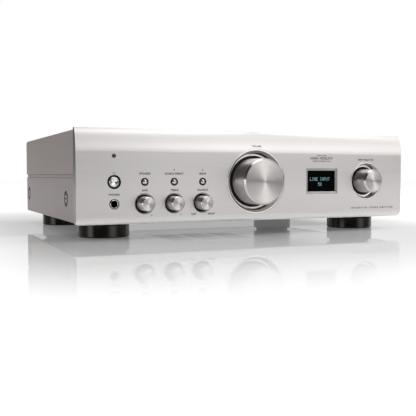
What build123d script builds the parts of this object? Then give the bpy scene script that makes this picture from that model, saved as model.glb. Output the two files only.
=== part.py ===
"""Integrated stereo amplifier, built as the separate pieces it comes apart into.

Millimetres. +X to the right, +Y to the rear, +Z up. The origin is the bottom centre of the
closed amplifier's bounding box: it stands on Z = 0, and its front faces -Y.
"""

import os
from math import cos, pi, sin

from build123d import *

# ---------------------------------------------------------------- driving dimensions
WIDTH = 434.0
DEPTH = 375.0
CABINET_DEPTH = 328.0
PANEL_TOP = 122.3
PANEL_BOTTOM = 17.0
VOLUME_REACH = 21.5

SHEET = 1.2
GAP = 0.1

# Front face, rear face and the stack behind the front panel, all along Y.
FACE = -DEPTH / 2 + VOLUME_REACH
REAR = FACE + CABINET_DEPTH
TAIL = DEPTH / 2
PANEL_THICK = 11.5
PANEL_BACK = FACE + PANEL_THICK
FRAME_BACK = PANEL_BACK + SHEET
BOARD_FRONT = FACE + 21.0
BOARD_THICK = 1.6

# Front panel section: the upper part sweeps back, and the lower edge is rounded over.
SWEEP_START = 97.0
SWEEP_DEPTH = 6.5
ROUND_START = 26.0
ROUND_DEPTH = 3.8
CORNER_RADIUS = 4.0

# Cover, a folded shell of top and sides.
COVER_HALF = WIDTH / 2 - 2.0
COVER_TOP = PANEL_TOP - 0.8
COVER_BOTTOM = PANEL_BOTTOM + 1.5
COVER_FOLD = 4.0
LOWER_SET_BACK = 0.4
GROOVE_BOTTOM = 67.3
GROOVE_HEIGHT = 5.0
GROOVE_DEPTH = 1.6
SIDE_SCREW_Z = 44.0
SIDE_SCREW_YS = [FACE + 60.0, FACE + 310.0]
DIMPLE_RADIUS = 9.5
DIMPLE_DEPTH = 2.5
LIP_HEIGHT = 12.0

# Tray: floor and side flanges that meet the cover's dimples.
FLOOR_TOP = COVER_BOTTOM + SHEET
TRAY_HALF = COVER_HALF - LOWER_SET_BACK - DIMPLE_DEPTH - SHEET
SIDE_FLANGE_TOP = 58.0
END_FLANGE_TOP = FLOOR_TOP + 11.0
FRAME_HALF = COVER_HALF - 4.0
REAR_HALF = COVER_HALF - GROOVE_DEPTH - SHEET - GAP
PLATE_TOP = COVER_TOP - SHEET - 0.5

FOOT_RADIUS = 30.0
FOOT_X = 173.0
FOOT_YS = [FACE + 52.5, FACE + 265.0]
PAD_THICK = 0.6

# Controls: centre lines on the front panel.
MIDLINE = 63.5
KNOB_ROW = 39.3
LIGHT_ROW = 77.0
POWER_X = -175.0
SMALL_XS = [-140.0, -105.0, -70.0]
SENSOR_Z = 92.0
SELECTOR_X = 161.0

SHAFT_RADIUS = 3.0
RUNNING = 0.05
BUSHING_RADIUS = 4.5
VOLUME_RADIUS = 27.3
VOLUME_RING = 38.8
SELECTOR_RADIUS = 14.7
SELECTOR_RING = 24.2
SELECTOR_REACH = 15.8
TONE_RADIUS = 8.0
TONE_REACH = 13.4
TONE_WELL = 10.3
TONE_WELL_MOUTH = 11.7

POWER_RADIUS = 5.4
POWER_RING = 7.8
POWER_TRAVEL = 2.5
SMALL_RADIUS = 2.6
SMALL_WELL = 4.5
SMALL_DOME = 1.1
SMALL_TRAVEL = 1.5
SWITCH_FRONT = FACE + 16.0

LENS_RADIUS = 0.75
SENSOR_RADIUS = 2.3
JACK_RADIUS = 5.7
JACK_BORE = 3.25
JACK_MOUTH = 3.7

DISPLAY_X = 93.1
DISPLAY_Z = 63.6
DISPLAY_WIDTH = 46.4
DISPLAY_HEIGHT = 32.0
DISPLAY_BEVEL = 3.0
DISPLAY_STEP = 1.5

# Rear sockets.
RCA_RADIUS = 4.15
RCA_STEM = 3.9
RCA_REACH = 9.5
RCA_LOW = 46.0
RCA_PITCH = 20.0
RCA_PAIR_XS = [190.0, 160.0, 144.0, 128.0, 106.0]
SINGLE_RCAS = [(84.0, RCA_LOW), (160.0, 92.0)]
OPTICAL_XS = [138.0, 116.0, 94.0]
DIGITAL_Z = 92.0
NETWORK_X = 66.0
USB_X = 44.0
INLET_X = -184.0
INLET_Z = 52.0

POST_RADIUS = 2.95
POST_BORE = 2.05
CAP_RADIUS = 7.2
POST_XS = [-30.0, -56.0, -92.0, -118.0]
POST_ZS = [38.0, 64.0]
TERMINAL_PLATE = 4.0
TERMINAL_COLLAR = 4.0

ANTENNA_X = 192.0
ANTENNA_Z = 110.5
ANTENNA_STUB = 8.0
ANTENNA_LENGTH = 165.0
KNUCKLE_Y = REAR + 16.0

# ---------------------------------------------------------------- inside the case, and derived places
BOARD_BOTTOM = FLOOR_TOP + 8.0
BOARD_TOP = BOARD_BOTTOM + BOARD_THICK
REAR_SCREW_XS = [-200.0, -145.0, 20.0, 118.0, 203.0]
REAR_SCREW_LOW = FLOOR_TOP + 6.5
REAR_SCREW_HIGH = COVER_TOP - 7.0
LIP_HALF = COVER_HALF - 8.0
FOOT_SCREW_SEAT = 12.0
JACK_BODY = 14.0
CORE_WIDTH = 96.0
CORE_DEPTH = 44.0
CORE_HEIGHT = 80.0
CORE_CORNER = (-196.0, -60.0, FLOOR_TOP + 2.0)
SINK_X = -2.0
SINK_START = -110.0
SINK_LENGTH = 190.0
SINK_REACH = 34.0
SINK_TOP = 102.0
INPUT_X0 = 60.0
INPUT_X1 = 205.0
BOSSES = [(SINK_X - x, SINK_START + y) for x in (8, 60) for y in (8, SINK_LENGTH - 8)]
BOSSES += [(x, REAR - y) for x in (INPUT_X0 + 8, INPUT_X1 - 8) for y in (14, 84)]
RCA_RING = 6.2
RCA_FLANGE = REAR + 1.6
ANTENNA_HOLE = 3.2
SCREW_HOLE = 1.5
RIBBON_HALF = 0.4
EARTH_X = 203.0
EARTH_Z = RCA_LOW + RCA_PITCH / 2
RCA_PLACES = [(x, RCA_LOW + RCA_PITCH * row) for x in RCA_PAIR_XS for row in (0, 1)] + SINGLE_RCAS
POSTS = [(x, z) for x in POST_XS for z in POST_ZS]
COLLAR_END = REAR + TERMINAL_PLATE + TERMINAL_COLLAR


# ---------------------------------------------------------------- shape helpers
def block(x0, x1, y0, y1, z0, z1):
    """Box between two opposite corners."""
    centre = Pos((x0 + x1) / 2, (y0 + y1) / 2, (z0 + z1) / 2)
    return centre * Box(x1 - x0, y1 - y0, z1 - z0)


def rod_y(x, z, radius, y0, y1):
    """Cylinder along Y."""
    return Pos(x, (y0 + y1) / 2, z) * Rot(90, 0, 0) * Cylinder(radius, y1 - y0)


def rod_z(x, y, radius, z0, z1):
    """Cylinder along Z."""
    return Pos(x, y, (z0 + z1) / 2) * Cylinder(radius, z1 - z0)


def turned(x, z, *corners):
    """Solid turned about the Y line through (x, z), from (radius, y) corners."""
    outline = Polyline(*corners, close=True)
    return Pos(x, 0, z) * revolve(make_face(outline), Axis.Y)


def separate(solids):
    """A group of solids that stay separate."""
    return Compound(children=[Solid(piece.wrapped) for group in solids for piece in group.solids()])


def screw(head_radius, head_height, shank_radius, shank_length):
    """Cross-head machine screw: the head stands on Z = 0, and the shank hangs below."""
    head = Pos(0, 0, head_height / 2) * Cylinder(head_radius, head_height)
    head = chamfer(head.edges().group_by(Axis.Z)[-1], head_height * 0.35)
    slot_length = head_radius * 1.2
    slot_width = head_radius * 0.24
    slot_depth = head_height * 0.6
    across = Box(slot_length, slot_width, slot_depth)
    along = Box(slot_width, slot_length, slot_depth)
    head -= Pos(0, 0, head_height - slot_depth / 2) * (across + along)
    return head + Pos(0, 0, -shank_length / 2) * Cylinder(shank_radius, shank_length)


def facing_rear(x, y, z):
    """Location whose own +Z points to the rear."""
    return Pos(x, y, z) * Rot(-90, 0, 0)


# ---------------------------------------------------------------- case
def control_holes(y0, y1, radii):
    """Cylinders through the front panel or its frame, one for each round control."""
    volume, selector, tone, power, small, lens, sensor, jack = radii
    holes = rod_y(0, MIDLINE, volume, y0, y1)
    holes += rod_y(SELECTOR_X, MIDLINE, selector, y0, y1)
    holes += rod_y(POWER_X, MIDLINE, power, y0, y1)
    holes += rod_y(POWER_X, LIGHT_ROW, lens, y0, y1)
    holes += rod_y(POWER_X, SENSOR_Z, sensor, y0, y1)
    holes += rod_y(POWER_X, KNOB_ROW, jack, y0, y1)
    for x in SMALL_XS:
        holes += rod_y(x, KNOB_ROW, tone, y0, y1)
        holes += rod_y(x, MIDLINE, small, y0, y1)
        holes += rod_y(x, LIGHT_ROW, lens, y0, y1)
    return holes


def front_panel():
    """Extruded aluminium fascia: flat middle, swept-back top, rounded lower edge."""
    back_bottom = (PANEL_BACK, PANEL_BOTTOM)
    back_top = (PANEL_BACK, PANEL_TOP)
    front_top = (FACE + SWEEP_DEPTH, PANEL_TOP)
    sweep_foot = (FACE, SWEEP_START)
    round_top = (FACE, ROUND_START)
    front_bottom = (FACE + ROUND_DEPTH, PANEL_BOTTOM)
    section = Curve() + [
        Line(back_bottom, back_top),
        Line(back_top, front_top),
        TangentArc(sweep_foot, front_top, tangent=(0, 1)),
        Line(sweep_foot, round_top),
        TangentArc(round_top, front_bottom, tangent=(0, -1)),
        Line(front_bottom, back_bottom),
    ]
    bar = extrude(Plane.YZ * make_face(section), WIDTH / 2, both=True)
    height = PANEL_TOP - PANEL_BOTTOM + 2 * GAP
    outline = Rectangle(WIDTH, height)
    outline = fillet(outline.vertices().group_by(Axis.Y)[0], CORNER_RADIUS)
    middle = Plane(origin=(0, 0, (PANEL_TOP + PANEL_BOTTOM) / 2), x_dir=(1, 0, 0), z_dir=(0, -1, 0))
    bar &= extrude(middle * outline, DEPTH, both=True)
    radii = (VOLUME_RING, SELECTOR_RING, TONE_WELL, POWER_RING, SMALL_WELL, LENS_RADIUS + RUNNING,
             SENSOR_RADIUS + RUNNING, JACK_RADIUS)
    bar -= control_holes(FACE - 1, PANEL_BACK + 1, radii)
    mouth_slope = 1.8
    for x in SMALL_XS:
        bar -= turned(x, KNOB_ROW, (0, FACE - GAP), (TONE_WELL_MOUTH + GAP, FACE - GAP),
                      (TONE_WELL, FACE + mouth_slope), (0, FACE + mouth_slope))
    half_w, half_h = DISPLAY_WIDTH / 2, DISPLAY_HEIGHT / 2
    return bar - block(DISPLAY_X - half_w, DISPLAY_X + half_w, FACE - 1, PANEL_BACK + 1,
                       DISPLAY_Z - half_h, DISPLAY_Z + half_h)


def front_frame():
    """Steel plate behind the fascia, which carries the controls and the display."""
    plate = block(-FRAME_HALF, FRAME_HALF, PANEL_BACK, FRAME_BACK, FLOOR_TOP + GAP, PLATE_TOP)
    bushing = BUSHING_RADIUS + GAP
    radii = (bushing, bushing, bushing, 3.0, 2.0, 1.0, 2.0, JACK_RADIUS)
    plate -= control_holes(PANEL_BACK - 1, FRAME_BACK + 1, radii)
    return plate - display_body(0.5, PANEL_BACK - 1, FRAME_BACK + 1)


def bottom_chassis():
    """Tray with flanges on four sides, bosses for the boards and air slots in its floor."""
    tray = block(-TRAY_HALF, TRAY_HALF, FRAME_BACK, REAR - SHEET, COVER_BOTTOM, SIDE_FLANGE_TOP)
    tray -= block(-TRAY_HALF + SHEET, TRAY_HALF - SHEET, FRAME_BACK + SHEET, REAR - 2 * SHEET,
                  FLOOR_TOP, SIDE_FLANGE_TOP + 1)
    for y0, y1 in ((FRAME_BACK - 1, FRAME_BACK + SHEET), (REAR - 2 * SHEET, REAR)):
        tray -= block(-TRAY_HALF + SHEET, TRAY_HALF - SHEET, y0, y1, END_FLANGE_TOP, SIDE_FLANGE_TOP + 1)
    for x in (-TRAY_HALF, TRAY_HALF):
        for y in SIDE_SCREW_YS:
            tray -= Pos(x, y, SIDE_SCREW_Z) * Rot(0, 90, 0) * Cylinder(2.0, 4 * SHEET)
    for x in (-FOOT_X, FOOT_X):
        for y in FOOT_YS:
            tray -= rod_z(x, y, 2.1, COVER_BOTTOM - 1, FLOOR_TOP + 1)
    slots = Sketch() + [place * SlotOverall(36, 4) for place in GridLocations(44, 12, 3, 8)]
    tray -= Pos(10, 20, COVER_BOTTOM - 1) * extrude(slots, 2 * SHEET + 1)
    for x, y in BOSSES:
        tray += rod_z(x, y, 3.0, FLOOR_TOP - GAP, BOARD_BOTTOM)
    for x in REAR_SCREW_XS:
        tray -= rod_y(x, REAR_SCREW_LOW, SCREW_HOLE, REAR - 3 * SHEET, REAR)
    return tray


def rear_panel():
    """Flat steel plate with a hole for every socket."""
    plate = block(-REAR_HALF, REAR_HALF, REAR - SHEET, REAR, FLOOR_TOP + GAP, PLATE_TOP)
    y0, y1 = REAR - SHEET - 1, REAR + 1
    for x, z in RCA_PLACES:
        plate -= rod_y(x, z, RCA_RING, y0, y1)
    for x, z in POSTS:
        plate -= rod_y(x, z, 4.0, y0, y1)
    plate -= rod_y(EARTH_X, EARTH_Z, 3.2, y0, y1)
    for x, width, height in digital_openings():
        plate -= block(x - width / 2, x + width / 2, y0, y1, DIGITAL_Z - height / 2, DIGITAL_Z + height / 2)
    plate -= block(INLET_X - 14, INLET_X + 14, y0, y1, INLET_Z - 10.2, INLET_Z + 10.2)
    for x in (-ANTENNA_X, ANTENNA_X):
        plate -= rod_y(x, ANTENNA_Z, ANTENNA_HOLE, y0, y1)
    for x in REAR_SCREW_XS:
        plate -= rod_y(x, REAR_SCREW_LOW, SCREW_HOLE, y0, y1)
        plate -= rod_y(x, REAR_SCREW_HIGH, SCREW_HOLE, y0, y1)
    return plate


def cover_outline():
    """Closed outline of the cover's section: grooved sides and folded top corners."""
    low = COVER_HALF - LOWER_SET_BACK
    groove = COVER_HALF - GROOVE_DEPTH
    side = [(low, COVER_BOTTOM), (low, GROOVE_BOTTOM), (groove, GROOVE_BOTTOM + 0.8),
            (groove, GROOVE_BOTTOM + GROOVE_HEIGHT - 0.8), (COVER_HALF, GROOVE_BOTTOM + GROOVE_HEIGHT),
            (COVER_HALF, COVER_TOP)]
    mirrored = [(-x, z) for x, z in reversed(side)]
    outline = make_face(Polyline(*side, *mirrored, close=True))
    return fillet(outline.vertices().group_by(Axis.Y)[-1], COVER_FOLD)


def top_cover():
    """Top and sides folded from one sheet, with a lip at the rear and slots over the hot parts."""
    outer = cover_outline()
    inner = offset(outer, -SHEET)
    depth = REAR - PANEL_BACK
    upright = Plane(origin=(0, REAR, 0), x_dir=(1, 0, 0), z_dir=(0, -1, 0))
    shell = extrude(upright * outer, depth) - extrude(upright * inner, depth)
    inside = COVER_HALF - LOWER_SET_BACK - SHEET
    shell -= block(-inside, inside, PANEL_BACK - 1, REAR + 1, COVER_BOTTOM - 1, COVER_BOTTOM + 2 * SHEET)
    for side in (-1, 1):
        outer_x = COVER_HALF - LOWER_SET_BACK
        for y in SIDE_SCREW_YS:
            place = Pos(0, y, SIDE_SCREW_Z) * Rot(0, side * 90, 0)
            thickness = DIMPLE_DEPTH + SHEET / 2
            boss = Cylinder(DIMPLE_RADIUS + SHEET, thickness)
            shell += place * Pos(0, 0, outer_x - SHEET / 2 - thickness / 2) * boss
            shell -= place * Pos(0, 0, outer_x) * Cylinder(DIMPLE_RADIUS, 2 * DIMPLE_DEPTH)
            shell -= place * Pos(0, 0, outer_x - DIMPLE_DEPTH) * Cylinder(2.0, 4 * SHEET)
    lip_bottom = COVER_TOP - LIP_HEIGHT
    shell += block(-LIP_HALF, LIP_HALF, REAR - 2 * SHEET, REAR - SHEET, lip_bottom, COVER_TOP - SHEET / 2)
    for x in REAR_SCREW_XS:
        shell -= rod_y(x, REAR_SCREW_HIGH, SCREW_HOLE, REAR - 3 * SHEET, REAR)
    for x in (-ANTENNA_X, ANTENNA_X):
        shell -= rod_y(x, ANTENNA_Z, ANTENNA_HOLE + GAP, REAR - 3 * SHEET, REAR)
    slots = Sketch() + [place * SlotOverall(60, 3.6) for place in GridLocations(70, 9, 4, 14)]
    return shell - Pos(10, 0, COVER_TOP - 2 * SHEET) * extrude(slots, 3 * SHEET)


def feet():
    """Four round feet: a turned body, a narrower neck and a counterbore for the screw."""
    neck_bottom = COVER_BOTTOM - 3.0
    body = Pos(0, 0, (PAD_THICK + neck_bottom) / 2) * Cylinder(FOOT_RADIUS, neck_bottom - PAD_THICK)
    body = fillet(body.edges().group_by(Axis.Z)[0], 0.8)
    body = fillet(body.edges().group_by(Axis.Z)[-1], 1.0)
    body += rod_z(0, 0, FOOT_RADIUS - 4, neck_bottom, COVER_BOTTOM)
    body -= rod_z(0, 0, 5.5, PAD_THICK - 1, FOOT_SCREW_SEAT)
    body -= rod_z(0, 0, 2.1, FOOT_SCREW_SEAT - 1, COVER_BOTTOM + 1)
    return separate(Pos(x, y, 0) * body for x in (-FOOT_X, FOOT_X) for y in FOOT_YS)


def foot_pads():
    """Felt ring stuck under each foot, the faces that the amplifier stands on."""
    ring = rod_z(0, 0, FOOT_RADIUS - 2, 0, PAD_THICK) - rod_z(0, 0, 12, -1, PAD_THICK + 1)
    return separate(Pos(x, y, 0) * ring for x in (-FOOT_X, FOOT_X) for y in FOOT_YS)


def case_screws():
    """Every cross-head screw of the case: feet, cover sides and rear panel."""
    screws = []
    for x in (-FOOT_X, FOOT_X):
        for y in FOOT_YS:
            screws.append(Pos(x, y, FOOT_SCREW_SEAT) * Rot(180, 0, 0) * screw(4.0, 2.6, 2.0, 12.0))
    seat = COVER_HALF - LOWER_SET_BACK - DIMPLE_DEPTH
    for side in (-1, 1):
        for y in SIDE_SCREW_YS:
            place = Pos(side * seat, y, SIDE_SCREW_Z) * Rot(0, side * 90, 0)
            screws.append(place * screw(5.6, 2.4, 1.9, 6.0))
    for x in REAR_SCREW_XS:
        for z in (REAR_SCREW_LOW, REAR_SCREW_HIGH):
            screws.append(facing_rear(x, REAR, z) * screw(3.0, 2.0, 1.4, 8.0))
    return separate(screws)


# ---------------------------------------------------------------- front controls
def dial_rings():
    """Dished rings let into the fascia around the volume and selector knobs.
    A chamfer leaves a fine line at the fascia, and a shoulder parts the flat lip from the dish."""
    chamfer = 0.4
    shoulder = 0.6
    rings = []
    sizes = [(0, VOLUME_RING, 1.5, 34.4, 3.8, 31.0, 9.0),
             (SELECTOR_X, SELECTOR_RING, 1.1, 20.9, 3.2, 18.4, 7.0)]
    for x, hole, lip, dish, dish_depth, throat, depth in sizes:
        outer = hole - RUNNING
        inner = outer - chamfer - lip
        rings.append(turned(
            x, MIDLINE,
            (outer, FACE + chamfer), (outer - chamfer, FACE), (inner, FACE), (inner - 0.2, FACE + shoulder),
            (dish, FACE + dish_depth), (throat + 1.3, FACE + depth), (throat, FACE + depth),
            (throat, PANEL_BACK), (outer, PANEL_BACK)))
    return separate(rings)


def big_knob(x, radius, reach, back, hub_back):
    """Turned knob with a flat face, a bright chamfer and a fine groove behind it."""
    front = FACE - reach
    bevel = 2.1
    groove = 0.7
    step = 0.3
    bore = SHAFT_RADIUS + 0.02
    bore_end = front + 6.0
    return turned(
        x, MIDLINE,
        (0, front), (radius - bevel - step, front), (radius - bevel, front + step),
        (radius - step, front + bevel), (radius - step, front + bevel + groove),
        (radius - 2 * step, front + bevel + groove), (radius - 2 * step, front + bevel + 2 * groove),
        (radius, front + bevel + 2 * groove), (radius, back), (radius - 3, back),
        (radius - 3, front + 9.0), (7.0, front + 9.0), (7.0, hub_back), (bore, hub_back),
        (bore, bore_end), (0, bore_end),
    )


def small_knob(x):
    """Tone knob: turned body, groove, chamfered face and a fine pointer line at the top."""
    front = FACE - TONE_REACH
    radius = TONE_RADIUS
    bore = SHAFT_RADIUS + 0.02
    back = FACE + 6.0
    knob = turned(
        x, KNOB_ROW,
        (0, front), (radius - 1.1, front), (radius - 0.3, front + 0.8), (radius - 0.3, front + 1.2),
        (radius - 0.6, front + 1.2), (radius - 0.6, front + 1.7), (radius, front + 1.7),
        (radius, back), (bore, back), (bore, front + 4.0), (0, front + 4.0),
    )
    line = block(x - 0.3, x + 0.3, front - 1, front + 0.35, KNOB_ROW + 4.2, KNOB_ROW + radius - 1.1)
    return knob - line


def shaft(x, z, front):
    """Steel shaft from inside the knob back into its control."""
    return rod_y(x, z, SHAFT_RADIUS, front, FACE + 19.5)


def rotary_controls():
    """Two encoders and three tone potentiometers, each a body and a threaded bushing."""
    places = [(0, MIDLINE, 11.0), (SELECTOR_X, MIDLINE, 11.0)] + [(x, KNOB_ROW, 8.0) for x in SMALL_XS]
    controls = []
    for x, z, half in places:
        control = block(x - half, x + half, FRAME_BACK, BOARD_FRONT - GAP, z - half, z + half)
        control += rod_y(x, z, BUSHING_RADIUS, FACE + 6.8, FRAME_BACK + 1)
        controls.append(control - rod_y(x, z, SHAFT_RADIUS + RUNNING, FACE, FACE + 20.0))
    return separate(controls)


def power_button():
    """Round power button: a dished cap, the flange that keeps it in and the stem to its switch."""
    front = FACE - 0.8
    dish = front + 0.5
    flange = FACE + 6.2
    stem_end = SWITCH_FRONT - POWER_TRAVEL - 0.3
    return turned(
        POWER_X, MIDLINE,
        (0, dish), (POWER_RADIUS * 0.62, front), (POWER_RADIUS - 0.3, front), (POWER_RADIUS, front + 0.3),
        (POWER_RADIUS, flange), (7.0, flange), (7.0, flange + 1.0), (2.5, flange + 1.0), (2.5, stem_end),
        (0, stem_end),
    )


def small_button(x):
    """Small round button with a domed end that stands a little proud of the panel."""
    front = FACE - 1.6
    flange = FACE + 8.2
    ball = (SMALL_RADIUS ** 2 + SMALL_DOME ** 2) / (2 * SMALL_DOME)
    dome = Pos(x, front + ball, MIDLINE) * Sphere(ball)
    button = rod_y(x, MIDLINE, SMALL_RADIUS, front, front + ball) & dome
    button += rod_y(x, MIDLINE, SMALL_RADIUS, front + ball - GAP, flange)
    button += rod_y(x, MIDLINE, 4.0, flange, flange + 1.0)
    return button + rod_y(x, MIDLINE, 1.5, flange, SWITCH_FRONT - SMALL_TRAVEL - 0.3)


def button_rings():
    """Black guides: a ring at the power button and a cup deep in each small button's well."""
    inner = POWER_RADIUS + GAP
    outer = POWER_RING - RUNNING
    rings = [turned(POWER_X, MIDLINE, (inner, FACE - 0.2), (outer - 0.4, FACE - 0.4), (outer, FACE),
                    (outer, FACE + 6.0), (inner, FACE + 6.0))]
    cup = SMALL_WELL - RUNNING
    for x in SMALL_XS:
        rings.append(turned(x, MIDLINE, (SMALL_RADIUS + GAP, FACE + 3.6), (cup, FACE + 3.0),
                            (cup, FACE + 8.0), (SMALL_RADIUS + GAP, FACE + 8.0)))
    return separate(rings)


def push_switches():
    """Switch body behind each push button, on the control board."""
    switches = []
    for x, half in [(POWER_X, 6.0)] + [(x, 4.0) for x in SMALL_XS]:
        low, high = MIDLINE - half, MIDLINE + half
        switches.append(block(x - half, x + half, SWITCH_FRONT, BOARD_FRONT - GAP, low, high))
    return separate(switches)


def indicator_lenses():
    """Four small indicator lenses and the larger lens of the remote control receiver."""
    lenses = []
    for x in [POWER_X] + SMALL_XS:
        lenses.append(turned(x, LIGHT_ROW, (0, FACE - 0.3), (LENS_RADIUS * 0.7, FACE - 0.15),
                             (LENS_RADIUS, FACE + 0.1), (LENS_RADIUS, PANEL_BACK), (0, PANEL_BACK)))
    lenses.append(turned(POWER_X, SENSOR_Z, (0, FACE - 0.25), (SENSOR_RADIUS - 0.3, FACE - 0.1),
                         (SENSOR_RADIUS, FACE + 0.2), (SENSOR_RADIUS, PANEL_BACK), (0, PANEL_BACK)))
    return separate(lenses)


def headphone_jack():
    """Headphone socket: a bright rounded ferrule in a narrow gap, and the body behind the frame."""
    ferrule = JACK_RADIUS - RUNNING
    lip = ferrule - 0.9
    rim = FACE - 0.7
    step = FACE + 2.5
    mouth = turned(POWER_X, KNOB_ROW, (JACK_MOUTH, rim + 0.6), (JACK_MOUTH + 0.5, rim), (lip - 0.5, rim),
                   (lip, rim + 0.5), (lip, step), (ferrule, step), (ferrule, FRAME_BACK + 1),
                   (JACK_BORE, FRAME_BACK + 1), (JACK_BORE, FACE + 1.6))
    half = JACK_BODY / 2
    body = block(POWER_X - half, POWER_X + half, FRAME_BACK, FACE + 34.0, KNOB_ROW - half, KNOB_ROW + half)
    return mouth + (body - rod_y(POWER_X, KNOB_ROW, JACK_BORE, FACE, FACE + 31.0))


def display_body(clearance, y0, y1):
    """Rectangular block behind the display opening."""
    half_w, half_h = DISPLAY_WIDTH / 2 - 2.0 + clearance, DISPLAY_HEIGHT / 2 - 2.0 + clearance
    return block(DISPLAY_X - half_w, DISPLAY_X + half_w, y0, y1, DISPLAY_Z - half_h, DISPLAY_Z + half_h)


def display_bezel():
    """Frame in the fascia whose four sides slope in to the window."""
    half_w, half_h = DISPLAY_WIDTH / 2 - RUNNING, DISPLAY_HEIGHT / 2 - RUNNING
    back = FACE + 8.0
    bezel = block(DISPLAY_X - half_w, DISPLAY_X + half_w, FACE, back, DISPLAY_Z - half_h, DISPLAY_Z + half_h)
    rim = 0.4
    mouth = Plane(origin=(DISPLAY_X, FACE, DISPLAY_Z), x_dir=(1, 0, 0), z_dir=(0, -1, 0))
    wide = Rectangle(DISPLAY_WIDTH - 2 * rim, DISPLAY_HEIGHT - 2 * rim)
    narrow = Rectangle(DISPLAY_WIDTH - 2 * DISPLAY_BEVEL, DISPLAY_HEIGHT - 2 * DISPLAY_BEVEL)
    bezel -= loft([mouth * wide, mouth * Pos(0, 0, -DISPLAY_STEP) * narrow])
    bezel -= extrude(mouth * Pos(0, 0, -DISPLAY_STEP) * narrow, -1.0)
    return bezel - display_body(GAP, FACE + DISPLAY_STEP + 0.4, back + 1)


def display_window():
    """Dark acrylic window seated behind the bezel's slopes."""
    return display_body(0, FACE + DISPLAY_STEP + 0.4, FACE + 4.4)


def display_module():
    """Dot-matrix display unit between the window and the control board."""
    return display_body(0, FACE + 4.6, BOARD_FRONT - GAP)


def control_board():
    """Circuit board along the whole front, cut away for the headphone socket."""
    board = block(-200, 190, BOARD_FRONT, BOARD_FRONT + BOARD_THICK, 26, 104)
    half = JACK_BODY / 2 + 1
    return board - block(POWER_X - half, POWER_X + half, BOARD_FRONT - 1, BOARD_FRONT + 3,
                         KNOB_ROW - half, KNOB_ROW + half)


# ---------------------------------------------------------------- inside the case
def transformer_core():
    """Laminated iron core with two windows, on a foot plate."""
    x0, y0, z0 = CORE_CORNER
    core = block(x0, x0 + CORE_WIDTH, y0, y0 + CORE_DEPTH, z0, z0 + CORE_HEIGHT)
    leg = CORE_WIDTH / 6
    for start in (x0 + leg, x0 + 4 * leg):
        core -= block(start, start + leg, y0 - 1, y0 + CORE_DEPTH + 1, z0 + leg, z0 + CORE_HEIGHT - leg)
    plate = block(x0 - 10, x0 + CORE_WIDTH + 10, y0, y0 + CORE_DEPTH, FLOOR_TOP, z0)
    return core + plate


def transformer_winding():
    """Taped winding around the core's middle leg."""
    x0, y0, z0 = CORE_CORNER
    leg = CORE_WIDTH / 6
    clear = 0.3
    bulge = leg - 2 * clear
    low, high = z0 + leg + clear, z0 + CORE_HEIGHT - leg - clear
    outer = block(x0 + leg + clear, x0 + 5 * leg - clear, y0 - bulge, y0 + CORE_DEPTH + bulge, low, high)
    outer = fillet(outer.edges().filter_by(Axis.Z), 6.0)
    return outer - block(x0 + 2 * leg - clear, x0 + 4 * leg + clear, y0 - clear, y0 + CORE_DEPTH + clear,
                         low - 1, high + 1)


def heat_sink():
    """Extruded heat sink: a back plate along Y with upright fins."""
    y0, y1 = SINK_START, SINK_START + SINK_LENGTH
    sink = block(SINK_X, SINK_X + 6, y0, y1, FLOOR_TOP, SINK_TOP)
    count = 15
    pitch = (SINK_LENGTH - 2.0) / (count - 1)
    for index in range(count):
        start = y0 + index * pitch
        sink += block(SINK_X, SINK_X + SINK_REACH, start, start + 2.0, FLOOR_TOP, SINK_TOP)
    return sink


def power_transistors():
    """Output transistors clamped to the heat sink, with three legs each down to the board."""
    packages = []
    for index in range(4):
        y = SINK_START + SINK_LENGTH * (index + 0.5) / 4
        package = block(SINK_X - 5, SINK_X, y - 8, y + 8, 52, 73)
        for leg in (-5.4, 0, 5.4):
            package += block(SINK_X - 3, SINK_X - 2, y + leg - 0.6, y + leg + 0.6, BOARD_TOP, 53)
        packages.append(package)
    return separate(packages)


def amplifier_board():
    """Circuit board beside the heat sink, on the tray's bosses."""
    return block(SINK_X - 68, SINK_X - 1, SINK_START, SINK_START + SINK_LENGTH, BOARD_BOTTOM, BOARD_TOP)


def filter_capacitors():
    """Two large smoothing capacitors standing on the amplifier board."""
    cans = []
    for y in (SINK_START + 40, SINK_START + 84):
        can = fillet(Cylinder(17.5, 50).edges().group_by(Axis.Z)[-1], 2.0)
        cans.append(Pos(SINK_X - 46, y, BOARD_TOP + 25) * can)
    return separate(cans)


def input_board():
    """Circuit board behind the signal sockets, with its network module and shield."""
    y1 = REAR - 3 * SHEET
    board = block(INPUT_X0, INPUT_X1, y1 - 90, y1, BOARD_BOTTOM, BOARD_TOP)
    return board + block(INPUT_X0 + 20, INPUT_X0 + 70, y1 - 80, y1 - 20, BOARD_TOP - GAP, BOARD_TOP + 9)


def ribbon_cables():
    """Two flat cables from the control board back to the boards in the tray."""
    start = BOARD_FRONT + BOARD_THICK + RIBBON_HALF
    low = BOARD_TOP + RIBBON_HALF
    ribbons = []
    for x, end in ((-30.0, SINK_START + 10.0), (100.0, REAR - 90.0)):
        corners = [(start, 60), (start + 16, 60), (start + 16, 44), (end, 44), (end, low)]
        ribbon = ribbon_outline(corners, RIBBON_HALF)
        ribbons.append(Pos(x, 0, 0) * extrude(Plane.YZ * ribbon, 12, both=True))
    return separate(ribbons)


def ribbon_outline(corners, half):
    """Thin outline of even thickness along a square-cornered path."""
    strip = Sketch()
    for (y0, z0), (y1, z1) in zip(corners, corners[1:]):
        low_y, high_y = min(y0, y1) - half, max(y0, y1) + half
        low_z, high_z = min(z0, z1) - half, max(z0, z1) + half
        middle = ((low_y + high_y) / 2, (low_z + high_z) / 2)
        strip += Pos(*middle) * Rectangle(high_y - low_y, high_z - low_z)
    return strip


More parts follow.
